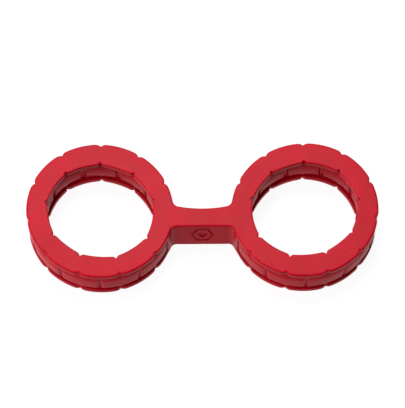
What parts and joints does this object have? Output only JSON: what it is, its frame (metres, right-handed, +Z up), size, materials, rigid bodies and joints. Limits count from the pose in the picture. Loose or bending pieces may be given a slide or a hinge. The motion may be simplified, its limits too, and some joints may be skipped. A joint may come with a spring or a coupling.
{
  "type": "silicone double ring cuff",
  "caption": "Figure-of-eight stretch cuff: scalloped silicone rings in courses like brickwork, joined by a short flexible bar that folds, sways and twists.",
  "frame": {"origin": "on the table under the middle of the footprint, between the rings", "axes": "+X along the bar towards the right ring, +Y away from the marked face of the bar, +Z up through the ring openings"},
  "size_m": [0.2018, 0.0842, 0.0224],
  "materials": {
    "silicone": "satin moulded silicone, opaque red, slightly glossy along the rolled rims"
  },
  "bodies": {
    "left_ring": {"left_top_flange": "silicone", "left_middle_course": "silicone", "left_bottom_flange": "silicone"},
    "left_root": {"bar_left_root": "silicone"},
    "left_half": {"bar_left_half": "silicone"},
    "right_half": {"bar_right_half": "silicone"},
    "right_root": {"bar_right_root": "silicone"},
    "right_ring": {"right_top_flange": "silicone", "right_middle_course": "silicone", "right_bottom_flange": "silicone"}
  },
  "joints": [
    {"name": "sway_left", "type": "hinge", "parent": "left_ring", "child": "left_root", "pos_m": [-0.015, -0.00482, 0.0112], "axis": [0, 0, 1], "range_deg": [-20, 20], "stiffness_Nm_per_rad": 0.27},
    {"name": "fold_left", "type": "hinge", "parent": "left_root", "child": "left_half", "pos_m": [-0.00875, -0.00482, 0.0112], "axis": [0, 1, 0], "range_deg": [-22, 22], "stiffness_Nm_per_rad": 0.9},
    {"name": "twist", "type": "hinge", "parent": "left_half", "child": "right_half", "pos_m": [0, -0.00482, 0.0112], "axis": [1, 0, 0], "range_deg": [-35, 35], "stiffness_Nm_per_rad": 0.12},
    {"name": "fold_right", "type": "hinge", "parent": "right_half", "child": "right_root", "pos_m": [0.00875, -0.00482, 0.0112], "axis": [0, 1, 0], "range_deg": [-22, 22], "stiffness_Nm_per_rad": 0.9},
    {"name": "sway_right", "type": "hinge", "parent": "right_root", "child": "right_ring", "pos_m": [0.015, -0.00482, 0.0112], "axis": [0, 0, 1], "range_deg": [-20, 20], "stiffness_Nm_per_rad": 0.27}
  ],
  "couplings": [
    {"joint": "fold_right", "follows": "fold_left", "ratio": 1},
    {"joint": "sway_right", "follows": "sway_left", "ratio": 1}
  ]
}
